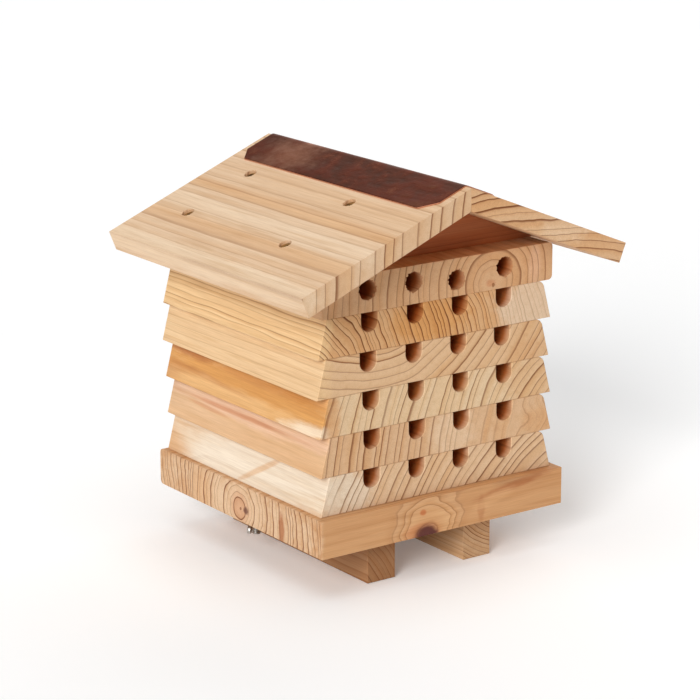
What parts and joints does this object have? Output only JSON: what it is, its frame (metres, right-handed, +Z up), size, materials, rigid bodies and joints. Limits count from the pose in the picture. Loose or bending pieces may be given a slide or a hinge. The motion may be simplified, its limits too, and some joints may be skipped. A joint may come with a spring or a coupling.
{
  "type": "insect hotel",
  "caption": "Small roofed hive for solitary bees: grooved wooden trays stacked under a drilled block and a pitched roof with a copper ridge cap, clamped by rods and wing nuts.",
  "frame": {"origin": "on the ground under the middle of the roof's plan", "axes": "+Z up, -Y is the front with the nesting holes, the roof's ridge runs along Y"},
  "size_m": [0.1994, 0.176, 0.2046],
  "materials": {
    "cedar": "planed, unfinished, satin matte",
    "copper_sheet": "dark patinated copper, soft sheen",
    "zinc_screws": "zinc plated",
    "stainless_hardware": "plain stainless"
  },
  "bodies": {
    "base": {"base_board": "cedar", "left_foot": "cedar", "right_foot": "cedar", "foot_screws": "zinc_screws"},
    "tray_5": {"tray_5": "cedar"},
    "tray_4": {"tray_4": "cedar"},
    "tray_3": {"tray_3": "cedar"},
    "tray_2": {"tray_2": "cedar"},
    "tray_1": {"tray_1": "cedar"},
    "head": {"drilled_block": "cedar", "front_gable": "cedar", "rear_gable": "cedar", "gable_screws": "zinc_screws", "left_roof_board": "cedar", "right_roof_board": "cedar", "left_roof_screws": "zinc_screws", "right_roof_screws": "zinc_screws", "ridge_cap": "copper_sheet", "left_rod": "stainless_hardware", "right_rod": "stainless_hardware"},
    "left_washer": {"left_washer": "stainless_hardware"},
    "left_wing_nut": {"left_wing_nut": "stainless_hardware"},
    "right_washer": {"right_washer": "stainless_hardware"},
    "right_wing_nut": {"right_wing_nut": "stainless_hardware"}
  },
  "joints": [
    {"name": "tray_5_lift", "type": "slide", "parent": "base", "child": "tray_5", "axis": [0, 0, 1], "range_m": [0, 0.03]},
    {"name": "tray_4_lift", "type": "slide", "parent": "tray_5", "child": "tray_4", "axis": [0, 0, 1], "range_m": [0, 0.03]},
    {"name": "tray_3_lift", "type": "slide", "parent": "tray_4", "child": "tray_3", "axis": [0, 0, 1], "range_m": [0, 0.03]},
    {"name": "tray_2_lift", "type": "slide", "parent": "tray_3", "child": "tray_2", "axis": [0, 0, 1], "range_m": [0, 0.03]},
    {"name": "tray_1_lift", "type": "slide", "parent": "tray_2", "child": "tray_1", "axis": [0, 0, 1], "range_m": [0, 0.03]},
    {"name": "head_lift", "type": "slide", "parent": "tray_1", "child": "head", "axis": [0, 0, 1], "range_m": [0, 0.14]},
    {"name": "left_nut_travel", "type": "slide", "parent": "base", "child": "left_washer", "axis": [0, 0, -1], "range_m": [0, 0.0128]},
    {"name": "left_nut_turn", "type": "hinge", "parent": "left_washer", "child": "left_wing_nut", "pos_m": [-0.058, 0.0161, 0.018], "axis": [0, 0, -1], "range_deg": [0, 5760]},
    {"name": "right_nut_travel", "type": "slide", "parent": "base", "child": "right_washer", "axis": [0, 0, -1], "range_m": [0, 0.0128]},
    {"name": "right_nut_turn", "type": "hinge", "parent": "right_washer", "child": "right_wing_nut", "pos_m": [0.058, 0.0161, 0.018], "axis": [0, 0, -1], "range_deg": [0, 5760]}
  ],
  "couplings": [
    {"joint": "left_nut_turn", "follows": "left_nut_travel", "rad_per_m": 7854},
    {"joint": "right_nut_turn", "follows": "right_nut_travel", "rad_per_m": 7854}
  ]
}
